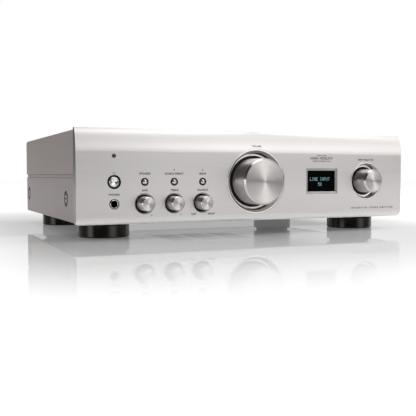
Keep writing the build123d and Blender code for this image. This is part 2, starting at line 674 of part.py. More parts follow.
# ---------------------------------------------------------------- rear sockets
def rca_shells():
    """Outer contacts of the signal sockets, with the centre contact in each."""
    contacts = []
    back, end = REAR - 9, REAR + RCA_REACH
    inner = 3.4
    barrel = RCA_FLANGE + 0.2
    for x, z in RCA_PLACES:
        contacts.append(turned(x, z, (inner, back), (RCA_STEM, back), (RCA_STEM, barrel),
                               (RCA_RADIUS, barrel), (RCA_RADIUS, end - 0.4), (RCA_RADIUS - 0.3, end),
                               (inner, end)))
        contacts.append(rod_y(x, z, 1.9, back, end - 1.5) - rod_y(x, z, 1.6, back + 3, end))
    return separate(contacts)


def rca_inserts():
    """Coloured ring and moulded housing of each signal socket."""
    inserts = []
    for x, z in RCA_PLACES:
        insert = block(x - 6, x + 6, REAR - 12, REAR - SHEET, z - 6.5, z + 6.5)
        insert += rod_y(x, z, RCA_RING - RUNNING, REAR - SHEET - 1, RCA_FLANGE)
        inserts.append(insert - rod_y(x, z, RCA_STEM + 0.02, REAR - 9.02, RCA_FLANGE + 1))
    return separate(inserts)


def digital_openings():
    """Place and size of each rectangular socket opening in the digital row."""
    optical = [(x, 13.0, 11.0) for x in OPTICAL_XS]
    return optical + [(NETWORK_X, 17.0, 14.5), (USB_X, 14.0, 7.0)]


def digital_sockets():
    """Optical, network and USB sockets of the digital row."""
    sockets = []
    for x, width, height in digital_openings():
        half_w, half_h = width / 2 - GAP, height / 2 - GAP
        body = block(x - half_w, x + half_w, REAR - 16, REAR + 0.8, DIGITAL_Z - half_h, DIGITAL_Z + half_h)
        mouth_w, mouth_h = half_w - 1.4, half_h - 1.2
        body -= block(x - mouth_w, x + mouth_w, REAR - 12, REAR + 2, DIGITAL_Z - mouth_h, DIGITAL_Z + mouth_h)
        if x == USB_X:
            body += block(x - mouth_w + 1, x + mouth_w - 1, REAR - 13, REAR - 1, DIGITAL_Z, DIGITAL_Z + 1.0)
        sockets.append(body)
    return separate(sockets)


def mains_inlet():
    """Two-pole appliance inlet with its flange on the rear panel."""
    inlet = block(INLET_X - 13.9, INLET_X + 13.9, REAR - 22, REAR + 1, INLET_Z - 10.1, INLET_Z + 10.1)
    flange = block(INLET_X - 16.5, INLET_X + 16.5, REAR, REAR + 2.4, INLET_Z - 12.5, INLET_Z + 12.5)
    inlet += fillet(flange.edges().filter_by(Axis.Y), 3.0)
    inlet -= block(INLET_X - 11.5, INLET_X + 11.5, REAR - 16, REAR + 3, INLET_Z - 7.6, INLET_Z + 7.6)
    for x in (-4.3, 4.3):
        inlet += rod_y(INLET_X + x, INLET_Z, 1.3, REAR - 17, REAR - 1)
    return inlet


def terminal_base():
    """Moulded plate of the speaker terminals, with a raised collar around each post."""
    low_x, high_x = min(POST_XS) - 13, max(POST_XS) + 13
    low_z, high_z = min(POST_ZS) - 12, max(POST_ZS) + 12
    plate = block(low_x, high_x, REAR, REAR + TERMINAL_PLATE, low_z, high_z)
    plate = fillet(plate.edges().filter_by(Axis.Y), 4.0)
    for x, z in POSTS:
        plate += rod_y(x, z, CAP_RADIUS + 1.3, REAR, COLLAR_END)
        plate -= rod_y(x, z, POST_RADIUS + 0.02, REAR - 1, COLLAR_END + 1)
    return plate


def terminal_studs():
    """Plated posts of the speaker terminals, each with a plug bore and a cross hole for wire, and the
    earth post beside the record player input."""
    studs = []
    for x, z in POSTS:
        stud = rod_y(x, z, POST_RADIUS, REAR - 14, TAIL - 1.5)
        stud -= rod_y(x, z, POST_BORE, COLLAR_END, TAIL)
        stud -= rod_z(x, COLLAR_END + 2.5, 1.5, z - 4, z + 4)
        studs.append(stud)
    earth = rod_y(EARTH_X, EARTH_Z, 3.0, REAR - 10, REAR + 3)
    earth += rod_y(EARTH_X, EARTH_Z, 1.5, REAR, REAR + 9)
    earth += rod_y(EARTH_X, EARTH_Z, 5.0, REAR + 4, REAR + 8)
    studs.append(earth)
    return separate(studs)


def terminal_cap(x, z):
    """Screw cap of a speaker terminal: a fluted grip around a bore that clears its post."""
    cap = turned(x, z, (POST_RADIUS + RUNNING, COLLAR_END), (CAP_RADIUS - 0.8, COLLAR_END),
                 (CAP_RADIUS, COLLAR_END + 0.8), (CAP_RADIUS, TAIL - 1.2), (CAP_RADIUS - 1.2, TAIL),
                 (POST_RADIUS + RUNNING, TAIL))
    flutes = 10
    for index in range(flutes):
        angle = 2 * pi * index / flutes
        cap -= rod_y(x + 8.0 * cos(angle), z + 8.0 * sin(angle), 1.6, COLLAR_END + 3.5, TAIL + 1)
    return cap


def antenna_sockets():
    """Fixed antenna stubs screwed through the rear panel."""
    stubs = []
    for x in (-ANTENNA_X, ANTENNA_X):
        stub = rod_y(x, ANTENNA_Z, 3.1, REAR - 8, REAR + 2)
        stub += extrude(facing_rear(x, REAR, ANTENNA_Z) * RegularPolygon(5.2, 6), 2.6)
        stub += rod_y(x, ANTENNA_Z, 3.1, REAR + 2, REAR + ANTENNA_STUB)
        stubs.append(stub)
    return separate(stubs)


def antenna_knuckle(side):
    """Swivelling sleeve that turns on the stub and carries the fork of the tilting joint."""
    x = side * ANTENNA_X
    front = REAR + 3.0
    sleeve = rod_y(x, ANTENNA_Z, 5.0, front, KNUCKLE_Y - 4.6)
    sleeve -= rod_y(x, ANTENNA_Z, 3.1 + RUNNING, front - 1, REAR + ANTENNA_STUB + 0.2)
    fork = block(x - 4.4, x + 4.4, KNUCKLE_Y - 6.0, KNUCKLE_Y, ANTENNA_Z - 5, ANTENNA_Z + 5)
    fork += rod_z(x, KNUCKLE_Y, 4.4, ANTENNA_Z - 5, ANTENNA_Z + 5)
    fork -= block(x - 6, x + 6, KNUCKLE_Y - 4.6, KNUCKLE_Y + 6, ANTENNA_Z - 2.6, ANTENNA_Z + 2.6)
    pin = rod_z(x, KNUCKLE_Y, 1.4, ANTENNA_Z - 4, ANTENNA_Z + 4)
    return sleeve + fork + pin


def antenna_rod(side):
    """Antenna blade that tilts in the fork; folded, it lies along the rear panel towards the middle."""
    x = side * ANTENNA_X
    low, high = ANTENNA_Z - 2.5, ANTENNA_Z + 2.5
    eye = rod_z(x, KNUCKLE_Y, 4.2, low, high)
    tip = x - side * ANTENNA_LENGTH
    near = x - side * 4.6
    eye += block(min(x, near), max(x, near), KNUCKLE_Y - 2.6, KNUCKLE_Y + 2.6, low, high)
    blade_start = x - side * 6.2
    blade = Pos((blade_start + tip) / 2, KNUCKLE_Y, ANTENNA_Z) * Rot(0, 90, 0)
    length = abs(tip - blade_start)
    body = blade * fillet(Cylinder(4.6, length).edges(), 1.2)
    neck_start, neck_end = min(near, blade_start) - 1, max(near, blade_start) + 1
    neck = block(neck_start, neck_end, KNUCKLE_Y - 2.4, KNUCKLE_Y + 2.4, low, high)
    return eye + neck + body - rod_z(x, KNUCKLE_Y, 1.4 + RUNNING, ANTENNA_Z - 6, ANTENNA_Z + 6)


def all_pieces():
    """Every piece by the name of its node."""
    pieces = {
        "front_panel": front_panel(),
        "front_frame": front_frame(),
        "bottom_chassis": bottom_chassis(),
        "rear_panel": rear_panel(),
        "top_cover": top_cover(),
        "feet": feet(),
        "foot_pads": foot_pads(),
        "case_screws": case_screws(),
        "dial_rings": dial_rings(),
        "display_bezel": display_bezel(),
        "display_window": display_window(),
        "display_module": display_module(),
        "indicator_lenses": indicator_lenses(),
        "button_rings": button_rings(),
        "headphone_jack": headphone_jack(),
        "rotary_controls": rotary_controls(),
        "push_switches": push_switches(),
        "control_board": control_board(),
        "transformer_core": transformer_core(),
        "transformer_winding": transformer_winding(),
        "heat_sink": heat_sink(),
        "power_transistors": power_transistors(),
        "amplifier_board": amplifier_board(),
        "filter_capacitors": filter_capacitors(),
        "input_board": input_board(),
        "ribbon_cables": ribbon_cables(),
        "rca_shells": rca_shells(),
        "rca_inserts": rca_inserts(),
        "digital_sockets": digital_sockets(),
        "mains_inlet": mains_inlet(),
        "terminal_base": terminal_base(),
        "terminal_studs": terminal_studs(),
        "antenna_sockets": antenna_sockets(),
        "power_button": power_button(),
        "volume_knob": big_knob(0, VOLUME_RADIUS, VOLUME_REACH, FACE + 9.0, FACE + 6.0),
        "volume_shaft": shaft(0, MIDLINE, FACE - VOLUME_REACH + 6.5),
        "selector_knob": big_knob(SELECTOR_X, SELECTOR_RADIUS, SELECTOR_REACH, FACE + 8.0, FACE + 6.0),
        "selector_shaft": shaft(SELECTOR_X, MIDLINE, FACE - SELECTOR_REACH + 6.5),
    }
    for name, x in zip(("speaker", "direct", "mode"), SMALL_XS):
        pieces[name + "_button"] = small_button(x)
    for name, x in zip(("bass", "treble", "balance"), SMALL_XS):
        pieces[name + "_knob"] = small_knob(x)
        pieces[name + "_shaft"] = shaft(x, KNOB_ROW, FACE - TONE_REACH + 4.5)
    for number, (x, z) in enumerate(POSTS, start=1):
        pieces[f"terminal_cap_{number}"] = terminal_cap(x, z)
    for name, side in (("left", -1), ("right", 1)):
        pieces[f"antenna_knuckle_{name}"] = antenna_knuckle(side)
        pieces[f"antenna_rod_{name}"] = antenna_rod(side)
    return pieces


os.makedirs("parts", exist_ok=True)
for node, piece in all_pieces().items():
    export_step(piece, f"parts/{node}.step")
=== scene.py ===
import math

import bmesh
import bpy
from mathutils import Matrix, Vector
from mathutils.bvhtree import BVHTree


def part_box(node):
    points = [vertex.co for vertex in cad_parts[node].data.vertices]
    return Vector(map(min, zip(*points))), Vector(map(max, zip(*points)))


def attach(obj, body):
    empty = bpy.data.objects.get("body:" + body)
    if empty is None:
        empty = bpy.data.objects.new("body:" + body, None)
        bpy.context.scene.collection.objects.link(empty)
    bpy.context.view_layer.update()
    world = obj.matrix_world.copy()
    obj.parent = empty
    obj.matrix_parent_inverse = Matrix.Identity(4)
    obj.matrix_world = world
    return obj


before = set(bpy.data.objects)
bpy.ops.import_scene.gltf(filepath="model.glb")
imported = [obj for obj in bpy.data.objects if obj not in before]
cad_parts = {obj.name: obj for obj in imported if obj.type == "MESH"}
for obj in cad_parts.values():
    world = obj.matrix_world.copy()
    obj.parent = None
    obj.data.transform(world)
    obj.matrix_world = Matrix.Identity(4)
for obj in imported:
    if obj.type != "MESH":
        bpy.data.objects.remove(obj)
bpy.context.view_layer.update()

MM = 0.001
BODY = "chassis"
INK_THICK = 0.015 * MM
WHITE = (1.0, 1.0, 1.0)

# Colours of the lit indicator lenses and of the display's dots.
LIT = (0.15, 0.72, 0.85)
GLOW = (0.42, 0.72, 0.78)


def centre_of(node):
    """Middle of a CAD node's box."""
    low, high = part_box(node)
    return (low + high) / 2


panel_low, panel_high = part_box("front_panel")
FACE = panel_low.y
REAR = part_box("rear_panel")[1].y
POWER = centre_of("power_button")
VOLUME = centre_of("volume_knob")
SELECTOR = centre_of("selector_knob")
TONES = [centre_of(name + "_knob") for name in ("bass", "treble", "balance")]
SMALLS = [centre_of(name + "_button") for name in ("speaker", "direct", "mode")]
DISPLAY = centre_of("display_bezel")


# ---------------------------------------------------------------- node helpers
class Nodes:
    """A node tree, with short ways to add and join nodes."""

    def put(self, socket, value):
        """Gives a socket a value, or joins a node output to it."""
        if isinstance(value, bpy.types.NodeSocket):
            self.tree.links.new(value, socket)
        else:
            socket.default_value = value

    def node(self, kind, *inputs, **settings):
        """Adds a node, its settings and its inputs in order."""
        made = self.tree.nodes.new("ShaderNode" + kind)
        for name, value in settings.items():
            setattr(made, name, value)
        for socket, value in zip(made.inputs, inputs):
            if value is not None:
                self.put(socket, value)
        return made

    def maths(self, operation, *inputs):
        """Result of one arithmetic node."""
        return self.node("Math", *inputs, operation=operation).outputs[0]

    def ramp(self, value, start, end, low, high):
        """Smooth step from low to high as value goes from start to end."""
        step = self.node("MapRange", value, start, end, low, high, interpolation_type="SMOOTHSTEP")
        return step.outputs[0]


class Shader(Nodes):
    """One material, built round its Principled surface."""

    def __init__(self, name, colour, metallic=0.0, roughness=0.5):
        self.material = bpy.data.materials.new(name)
        self.material.use_nodes = True
        self.tree = self.material.node_tree
        self.surface = self.tree.nodes["Principled BSDF"]
        self.set("Base Color", (*colour, 1.0))
        self.set("Metallic", metallic)
        self.set("Roughness", roughness)
        self.material.diffuse_color = (*colour, 1.0)

    def set(self, socket, value):
        """Gives the surface a value, or joins a node output to it."""
        self.put(self.surface.inputs[socket], value)

    def place(self, scale=(1.0, 1.0, 1.0), offset=(0.0, 0.0, 0.0)):
        """Position on the object in metres, moved by offset and then scaled."""
        here = self.node("TexCoord").outputs["Object"]
        return self.vector("MULTIPLY", self.vector("ADD", here, offset), scale)

    def noise(self, vector, scale, detail=2.0):
        """Noise from 0 to 1 at a place."""
        made = self.node("TexNoise")
        self.put(made.inputs["Vector"], vector)
        self.put(made.inputs["Scale"], scale)
        self.put(made.inputs["Detail"], detail)
        return made.outputs["Fac"]

    def spread(self, value, low, high, start=0.0, end=1.0):
        """Maps start..end to low..high."""
        return self.node("MapRange", value, start, end, low, high).outputs[0]

    def tint(self, fac, dark, light):
        """Colour between two colours."""
        made = self.node("Mix", data_type="RGBA")
        self.put(made.inputs["Factor"], fac)
        self.put(made.inputs["A"], (*dark, 1.0))
        self.put(made.inputs["B"], (*light, 1.0))
        return made.outputs["Result"]

    def vector(self, operation, first, second, output=0):
        """Result of one vector node."""
        return self.node("VectorMath", first, second, operation=operation).outputs[output]

    def to_world(self, direction):
        """A direction on the object, turned to the world's axes."""
        turned = self.node("VectorTransform", direction, vector_type="VECTOR", convert_from="OBJECT",
                           convert_to="WORLD")
        return turned.outputs[0]

    def bump(self, height, strength, distance):
        """Joins a height to the surface's normal, and returns that normal."""
        made = self.node("Bump")
        self.put(made.inputs["Strength"], strength)
        self.put(made.inputs["Distance"], distance)
        self.put(made.inputs["Height"], height)
        self.set("Normal", made.outputs["Normal"])
        return made.outputs["Normal"]


def shade(colour, factor):
    """Lighter or darker copy of a colour."""
    return tuple(min(1.0, channel * factor) for channel in colour)


# ---------------------------------------------------------------- materials
def brushed_metal(name, colour, roughness, stretch=(6.0, 900.0, 2600.0), ends=1.0, painted_shade=1.0):
    """Aluminium brushed along X: fine long lines that spread reflections upright.
    Faces square to X are darkened by the factor ends, a painted shade. With the last factor under 1 the
    front panel's colour falls to that factor at its foot, and half as far at its left end, a painted shade,
    while the part that turns under is lightened, a painted light."""
    look = Shader(name, colour, 1.0, roughness)
    lines = look.noise(look.place(stretch), 1.0, 3.0)
    cloud = look.noise(look.place(), 9.0, 2.0)
    facing = look.node("SeparateXYZ", look.node("NewGeometry").outputs["Normal"]).outputs
    # Painted shade: the colour of faces square to X is multiplied by ends, which darkens the panel's end
    # faces.
    square_above = 0.9
    square = look.maths("GREATER_THAN", look.maths("ABSOLUTE", facing[0]), square_above)
    tinted = look.tint(lines, shade(colour, 0.93), shade(colour, 1.06))
    painted_tone = look.spread(square, 1.0, ends)
    # Painted shade: the panel's colour is darkened towards its foot and, half as much, towards its left end.
    if painted_shade < 1.0:
        x, _, z = look.node("SeparateXYZ", look.place()).outputs
        foot_reach, end_reach = 45 * MM, 120 * MM
        for along, start, reach, least in ((z, panel_low.z, foot_reach, painted_shade),
                                           (x, panel_low.x, end_reach, (1.0 + painted_shade) / 2)):
            painted_tone = look.maths("MULTIPLY", painted_tone, look.ramp(along, start, start + reach, least, 1.0))
        # Painted light: faces turning down under the panel's foot get their colour lightened, up to 1.35
        # times.
        painted_rim_light = 1.35
        painted_tone = look.maths("MULTIPLY", painted_tone, look.spread(facing[2], painted_rim_light, 1.0, -0.45, -0.1))
    look.set("Base Color", look.node("VectorMath", tinted, None, None, painted_tone, operation="SCALE").outputs[0])
    base = look.spread(cloud, roughness - 0.03, roughness + 0.03)
    look.set("Roughness", look.maths("ADD", look.spread(lines, -0.05, 0.05), base))
    look.set("Anisotropic", 0.75)
    look.put(look.surface.inputs["Tangent"], (0.0, 0.0, 1.0))
    look.bump(lines, 0.12, 0.02 * MM)
    return look.material


def turned_metal(name, colour, centre, roughness, anisotropic=1.0, other=None):
    """Metal turned about the Y line through centre: fine rings, and wedges of reflected light on its flat
    ends. Sloped faces are polished. A second piece to the right is turned about the line through other."""
    rings_per_metre = 1800.0
    end_above, flat_above = 0.3, 0.97
    polish = 0.5
    look = Shader(name, colour, 1.0, roughness)
    away = look.place((1.0, 0.0, 1.0), (-centre.x, 0.0, -centre.z))
    if other:
        gap = other.x - centre.x
        across = look.node("SeparateXYZ", away).outputs[0]
        second = look.maths("GREATER_THAN", across, gap / 2)
        back = look.node("CombineXYZ", look.maths("MULTIPLY", second, gap))
        away = look.vector("SUBTRACT", away, back.outputs[0])
    radius = look.node("VectorMath", away, operation="LENGTH").outputs["Value"]
    reach = look.node("SeparateXYZ", look.place((0.0, 1.0, 0.0))).outputs[1]
    outwards = look.maths("MULTIPLY", radius, rings_per_metre)
    along = look.maths("MULTIPLY", reach, rings_per_metre)
    rings = look.noise(look.node("CombineXYZ", outwards, along, 0.0).outputs[0], 1.0, 2.0)
    look.set("Base Color", look.tint(rings, shade(colour, 0.93), shade(colour, 1.04)))
    outward = look.to_world(away)
    axis = look.to_world((0.0, 1.0, 0.0))
    normal = look.node("NewGeometry").outputs["Normal"]
    flat = look.maths("ABSOLUTE", look.vector("DOT_PRODUCT", normal, axis, "Value"))
    ends = look.maths("GREATER_THAN", flat, end_above)
    sloped = look.maths("MULTIPLY", ends, look.maths("LESS_THAN", flat, flat_above))
    worn = look.spread(rings, roughness - 0.03, roughness + 0.03)
    look.set("Roughness", look.maths("MULTIPLY", worn, look.spread(sloped, 1.0, polish)))
    grain = look.node("Mix", data_type="VECTOR")
    look.put(grain.inputs["Factor"], ends)
    look.put(grain.inputs[4], axis)
    look.put(grain.inputs[5], look.node("VectorMath", outward, operation="NORMALIZE").outputs[0])
    look.set("Anisotropic", anisotropic)
    look.put(look.surface.inputs["Tangent"], grain.outputs[1])
    look.bump(rings, 0.1, 0.02 * MM)
    return look.material


def satin_paint(name, colour, roughness):
    """Baked paint with a fine orange-peel grain and slight cloudiness."""
    look = Shader(name, colour, 0.0, roughness)
    peel = look.noise(look.place(), 1800.0, 3.0)
    cloud = look.noise(look.place(), 7.0, 2.0)
    look.set("Base Color", look.tint(cloud, shade(colour, 0.95), shade(colour, 1.05)))
    look.set("Roughness", look.spread(peel, roughness - 0.06, roughness + 0.08))
    look.set("Specular IOR Level", 0.45)
    look.bump(peel, 0.25, 0.02 * MM)
    return look.material


def moulded_plastic(name, colour, roughness, specular=0.5, lean=0.0, gloss=WHITE):
    """Injection-moulded plastic with a faint spark-eroded grain. Its upright sides are shaded as if they
    leaned back by lean, like drafted sides, and gloss tints what they reflect."""
    look = Shader(name, colour, 0.0, roughness)
    look.set("Specular IOR Level", specular)
    look.set("Specular Tint", (*gloss, 1.0))
    texture = look.noise(look.place(), 2600.0, 2.0)
    patches = look.noise(look.place(), 30.0, 2.0)
    look.set("Base Color", look.tint(patches, shade(colour, 0.85), shade(colour, 1.15)))
    look.set("Roughness", look.spread(texture, roughness - 0.05, roughness + 0.07))
    grained = look.bump(texture, 0.15, 0.015 * MM)
    if lean:
        look.set("Normal", look.vector("ADD", grained, (0.0, 0.0, lean)))
    return look.material


def plated(name, colour, roughness):
    """Bright plate with faint handling haze."""
    look = Shader(name, colour, 1.0, roughness)
    haze = look.noise(look.place(), 240.0, 4.0)
    look.set("Base Color", look.tint(haze, shade(colour, 0.92), shade(colour, 1.04)))
    look.set("Roughness", look.spread(haze, roughness * 0.6, roughness * 1.7))
    look.bump(haze, 0.05, 0.01 * MM)
    return look.material


def zinc_sheet(name):
    """Zinc-plated sheet steel with a soft spangle, coloured darker than bright zinc as painted shade for its
    underside.
    """
    # Painted shade: darker than bright zinc, so the underside mirrored in the floor under the case looks
    # dim.
    colour = (0.35, 0.35, 0.35)
    look = Shader(name, colour, 1.0, 0.35)
    spangle = look.node("TexVoronoi")
    look.put(spangle.inputs["Vector"], look.place())
    look.put(spangle.inputs["Scale"], 160.0)
    shine = look.node("SeparateColor", spangle.outputs["Color"]).outputs[0]
    look.set("Base Color", look.tint(shine, shade(colour, 0.85), shade(colour, 1.1)))
    look.set("Roughness", look.spread(shine, 0.08, 0.16))
    return look.material


def felt_cloth(name):
    """Pressed felt: short matted fibres."""
    look = Shader(name, (0.03, 0.03, 0.032), 0.0, 0.95)
    fibres = look.noise(look.place((1.0, 1.0, 0.3)), 3500.0, 5.0)
    look.set("Base Color", look.tint(fibres, (0.015, 0.015, 0.016), (0.08, 0.08, 0.085)))
    look.set("Sheen Weight", 0.4)
    look.bump(fibres, 0.8, 0.1 * MM)
    return look.material


def circuit_board(name):
    """Green solder mask over copper tracks, with a little gloss."""
    look = Shader(name, (0.02, 0.13, 0.06), 0.0, 0.3)
    tracks = look.node("TexBrick")
    look.put(tracks.inputs["Vector"], look.place())
    look.put(tracks.inputs["Scale"], 60.0)
    look.put(tracks.inputs["Color1"], (0.015, 0.11, 0.05, 1.0))
    look.put(tracks.inputs["Color2"], (0.02, 0.15, 0.07, 1.0))
    look.put(tracks.inputs["Mortar"], (0.04, 0.24, 0.10, 1.0))
    look.set("Base Color", tracks.outputs["Color"])
    look.set("Roughness", look.spread(look.noise(look.place(), 500.0), 0.2, 0.4))
    look.bump(tracks.outputs["Fac"], 0.2, 0.03 * MM)
    return look.material


def banded(name, dark, light, axis_scale, roughness, metallic=0.0):
    """Fine parallel bands, for laminations, tape turns, ribbon cable and sleeves."""
    look = Shader(name, light, metallic, roughness)
    bands = look.node("TexWave", wave_profile="SAW", bands_direction="DIAGONAL")
    look.put(bands.inputs["Vector"], look.place(axis_scale))
    look.put(bands.inputs["Scale"], 1.0)
    look.put(bands.inputs["Distortion"], 0.3)
    soft = look.noise(look.place(), 400.0, 3.0)
    look.set("Base Color", look.tint(bands.outputs["Fac"], dark, light))
    look.set("Roughness", look.spread(soft, roughness - 0.08, roughness + 0.08))
    look.bump(bands.outputs["Fac"], 0.3, 0.05 * MM)
    return look.material


def lens_glow(name):
    """Small lenses: the two leftmost lights shine, and the receiver window above them and the others stay
    dark."""
    look = Shader(name, (0.05, 0.055, 0.06), 0.0, 0.12)
    x, _, z = look.node("SeparateXYZ", look.place()).outputs
    between = (SMALLS[0].x + SMALLS[1].x) / 2
    under_receiver = POWER.z + 22 * MM
    leftmost = look.maths("LESS_THAN", x, between)
    lit = look.maths("MULTIPLY", leftmost, look.maths("LESS_THAN", z, under_receiver))
    speck = look.noise(look.place(), 3000.0, 1.0)
    look.set("Base Color", look.tint(lit, (0.03, 0.028, 0.028), shade(LIT, 0.8)))
    look.set("Emission Color", (*LIT, 1.0))
    look.set("Emission Strength", look.maths("MULTIPLY", lit, 0.35))
    look.set("Roughness", look.spread(speck, 0.08, 0.2))
    return look.material


def jack_metal(name):
    """Bright ferrule round a black moulded socket; its outer edge is darkened, a painted shade for the gap
    round it.
    """
    mouth, edge_from, gap_shade = 3.6 * MM, 4.6 * MM, 0.8
    look = Shader(name, (0.7, 0.69, 0.68), 1.0, 0.2)
    away = look.place((1.0, 0.0, 1.0), (-POWER.x, 0.0, -TONES[0].z))
    radius = look.node("VectorMath", away, operation="LENGTH").outputs["Value"]
    rim = look.maths("GREATER_THAN", radius, mouth)
    haze = look.noise(look.place(), 700.0, 3.0)
    # Painted shade: beyond edge_from the ferrule's colour is darkened, standing for the shadowed gap at its
    # rim.
    edge = look.maths("GREATER_THAN", radius, edge_from)
    plate = look.maths("SUBTRACT", rim, look.maths("MULTIPLY", edge, gap_shade))
    look.set("Base Color", look.tint(plate, (0.004, 0.004, 0.004), (0.72, 0.71, 0.70)))
    look.set("Metallic", rim)
    look.set("Roughness", look.spread(haze, 0.1, 0.2))
    look.set("Specular IOR Level", 0.2)
    return look.material


def dark_window(name):
    """Polished smoked acrylic."""
    look = Shader(name, (0.003, 0.003, 0.0035), 0.0, 0.05)
    wipe = look.noise(look.place((1.0, 1.0, 3.0)), 90.0, 3.0)
    look.set("Roughness", look.spread(wipe, 0.03, 0.09))
    look.set("Specular IOR Level", 0.04)
    return look.material


def signal_colours(name):
    """Moulded socket colours: white above red in each pair, orange for the single digital input."""
    look = Shader(name, (0.8, 0.8, 0.78), 0.0, 0.35)
    z = look.node("SeparateXYZ", look.place()).outputs[2]
    low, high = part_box("rca_inserts")
    pair_split = low.z + 16.5 * MM
    digital_split = high.z - 16 * MM
    upper = look.tint(look.maths("GREATER_THAN", z, pair_split), (0.45, 0.01, 0.012), (0.78, 0.78, 0.76))
    top = look.node("Mix", data_type="RGBA")
    look.put(top.inputs["Factor"], look.maths("GREATER_THAN", z, digital_split))
    look.put(top.inputs["A"], upper)
    look.put(top.inputs["B"], (0.8, 0.22, 0.01, 1.0))
    look.set("Base Color", top.outputs["Result"])
    look.set("Roughness", look.spread(look.noise(look.place(), 2000.0), 0.28, 0.42))
    return look.material


def glow(name, colour, strength):
    """Light-emitting dots of the display, a little uneven."""
    look = Shader(name, shade(colour, 0.2), 0.0, 0.6)
    look.set("Emission Color", (*colour, 1.0))
    flicker = look.noise(look.place(), 2200.0, 1.0)
    look.set("Emission Strength", look.spread(flicker, strength * 0.75, strength * 1.25))
    return look.material


def printed_ink(name, colour):
    """Screen-printed ink, slightly patchy and matt."""
    look = Shader(name, colour, 0.0, 0.6)
    patches = look.noise(look.place(), 4000.0, 2.0)
    look.set("Base Color", look.tint(patches, shade(colour, 0.8), shade(colour, 1.2)))
    look.set("Roughness", look.spread(patches, 0.5, 0.7))
    return look.material


# ---------------------------------------------------------------- finishes on the CAD nodes
def dress(nodes, material):
    """Puts one material on every slot of some CAD nodes."""
    for name in nodes:
        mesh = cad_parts[name].data
        mesh.materials.clear()
        mesh.materials.append(material)


def finish_front():
    """Front panel, its controls and its sockets."""
    silver = (0.92, 0.885, 0.872)
    bright = (0.7, 0.668, 0.655)
    # Painted shade on the panel: end faces darkened, colour falling towards its foot and left end; its
    # underturned rim is painted lighter.
    dress(["front_panel"], brushed_metal("brushed_panel", silver, 0.36, ends=0.4, painted_shade=0.84))
    dress(["display_bezel"], plated("bezel_metal", shade(silver, 0.62), 0.5))
    dress(["volume_knob"], turned_metal("volume_metal", bright, VOLUME, 0.38))
    dress(["selector_knob"], turned_metal("selector_metal", bright, SELECTOR, 0.38))
    for name, centre in zip(("bass", "treble", "balance"), TONES):
        dress([name + "_knob"], turned_metal(name + "_metal", bright, centre, 0.36))
    for name, centre in zip(("speaker", "direct", "mode"), SMALLS):
        dress([name + "_button"], turned_metal(name + "_button_metal", bright, centre, 0.25))
    dress(["power_button"], turned_metal("power_metal", (0.85, 0.84, 0.84), POWER, 0.16))
    dress(["dial_rings"], turned_metal("ring_metal", shade(silver, 0.95), VOLUME, 0.36, 0.6, other=SELECTOR))
    dress(["button_rings"], moulded_plastic("black_ring", (0.004, 0.0037, 0.0036), 0.2, specular=0.2))
    dress(["headphone_jack"], jack_metal("jack_metal"))
    dress(["indicator_lenses"], lens_glow("lens_glow"))
    dress(["display_window"], dark_window("smoked_window"))
    # Painted shade: the frame is coloured black so that the deep wells round the knobs, where it shows, read
    # black.
    dress(["front_frame"], satin_paint("black_steel", (0.012, 0.012, 0.012), 0.6))


def finish_case():
    """Cover, tray, rear panel, feet and screws."""
    dress(["top_cover"], satin_paint("cover_paint", (0.285, 0.252, 0.243), 0.42))
    dress(["bottom_chassis"], zinc_sheet("zinc_sheet"))
    dress(["rear_panel"], satin_paint("rear_paint", (0.03, 0.03, 0.031), 0.5))
    dress(["feet"], moulded_plastic("foot_plastic", (0.005, 0.0042, 0.004), 0.2, specular=0.42, lean=0.1,
                                    gloss=(1.0, 0.92, 0.86)))
    dress(["foot_pads"], felt_cloth("pad_felt"))
    dress(["case_screws"], plated("screw_plate", (0.05, 0.046, 0.045), 0.14))


def finish_inside():
    """Boards, transformer, heat sink and the rest of the inside."""
    dress(["control_board", "amplifier_board", "input_board"], circuit_board("circuit_board"))
    dress(["transformer_core"],
          banded("laminations", (0.10, 0.10, 0.11), (0.28, 0.28, 0.30), (0, 6000, 0), 0.4, 0.8))
    dress(["transformer_winding"],
          banded("winding_tape", (0.50, 0.36, 0.06), (0.72, 0.55, 0.14), (0, 0, 700), 0.35))
    dress(["heat_sink"], brushed_metal("anodised_black", (0.05, 0.05, 0.052), 0.42, (900.0, 900.0, 5.0)))
    dress(["filter_capacitors"],
          banded("capacitor_sleeve", (0.02, 0.02, 0.03), (0.05, 0.045, 0.07), (0, 0, 300), 0.25))
    dress(["ribbon_cables"],
          banded("ribbon_cable", (0.42, 0.43, 0.45), (0.66, 0.67, 0.70), (5000, 0, 0), 0.45))
    dress(["power_transistors", "push_switches", "display_module"],
          moulded_plastic("epoxy_black", (0.02, 0.02, 0.02), 0.5))
    shafts = [name + "_shaft" for name in ("volume", "selector", "bass", "treble", "balance")]
    dress(["rotary_controls"] + shafts, plated("control_plate", (0.62, 0.63, 0.65), 0.25))


def finish_rear():
    """Sockets, speaker terminals and antennas."""
    gold = plated("gold_plate", (0.83, 0.62, 0.28), 0.16)
    dress(["rca_shells", "terminal_studs", "antenna_sockets"], gold)
    dress(["rca_inserts"], signal_colours("signal_colours"))
    black = moulded_plastic("socket_black", (0.018, 0.018, 0.019), 0.38)
    dress(["digital_sockets", "mains_inlet", "terminal_base"], black)
    dress([f"antenna_{part}_{side}" for part in ("knuckle", "rod") for side in ("left", "right")],
          moulded_plastic("antenna_black", (0.02, 0.02, 0.021), 0.45))
    red = moulded_plastic("cap_red", (0.42, 0.008, 0.01), 0.22)
    dark = moulded_plastic("cap_black", (0.015, 0.015, 0.016), 0.22)
    middle = centre_of("terminal_base").z
    for number in range(1, 9):
        name = f"terminal_cap_{number}"
        dress([name], red if centre_of(name).z > middle else dark)


# ---------------------------------------------------------------- printed legends and the display
def new_piece(name, shape, material):
    """Object for a finished bmesh, riding on the chassis."""
    mesh = bpy.data.meshes.new(name)
    shape.to_mesh(mesh)
    shape.free()
    mesh.materials.append(material)
    piece = bpy.data.objects.new(name, mesh)
    bpy.context.scene.collection.objects.link(piece)
    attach(piece, BODY)


